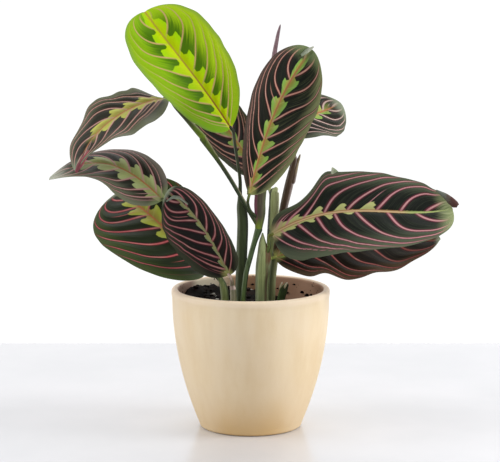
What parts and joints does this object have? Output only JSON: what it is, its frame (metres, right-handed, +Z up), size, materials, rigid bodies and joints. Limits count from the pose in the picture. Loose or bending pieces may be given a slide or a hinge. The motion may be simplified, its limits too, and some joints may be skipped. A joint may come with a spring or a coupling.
{
  "type": "potted prayer plant",
  "caption": "Prayer plant with dark veined leaves, one of them young and lime, and a rolled new leaf, growing from soil in a round tapered cream ceramic pot.",
  "frame": {"origin": "centre of the pot's foot, on the surface it stands on", "axes": "+Z up; -Y is the front, the side the picture shows; +X is the right as seen from the front"},
  "size_m": [0.3013, 0.1267, 0.3231],
  "materials": {
    "pot_ceramic": "satin cream ceramic",
    "potting_soil": "damp dark potting mix",
    "leaf_dark": "satin leaf, red veins and lime midrib band",
    "leaf_lime": "satin young leaf, lime green with dark blotches",
    "rolled_leaf": "satin pink-brown rolled leaf",
    "stem_green": "satin green stem",
    "sheath_pale": "satin pale green leaf sheath",
    "sheath_brown": "satin brown-green leaf sheath"
  },
  "bodies": {
    "root": {"pot": "pot_ceramic", "soil": "potting_soil", "stem_centre": "stem_green", "sheath_centre": "sheath_brown", "rolled_leaf": "rolled_leaf", "stem_branch": "stem_green", "sheath_right": "sheath_pale", "stub_cut": "stem_green", "petiole_lime_top": "sheath_brown", "petiole_upper_left": "stem_green", "petiole_front_tall": "stem_green", "petiole_right_large": "sheath_pale", "petiole_back_right": "sheath_brown", "petiole_mid_left": "stem_green", "petiole_low_left": "stem_green", "petiole_front_left": "sheath_pale", "petiole_low_right": "sheath_pale", "petiole_back": "sheath_pale", "leaf_lime_top": "leaf_lime", "leaf_upper_left": "leaf_dark", "leaf_front_tall": "leaf_dark", "leaf_right_large": "leaf_dark", "leaf_back_right": "leaf_dark", "leaf_mid_left": "leaf_dark", "leaf_low_left": "leaf_dark", "leaf_front_left": "leaf_dark", "leaf_low_right": "leaf_dark", "leaf_back": "leaf_dark"}
  },
  "joints": []
}
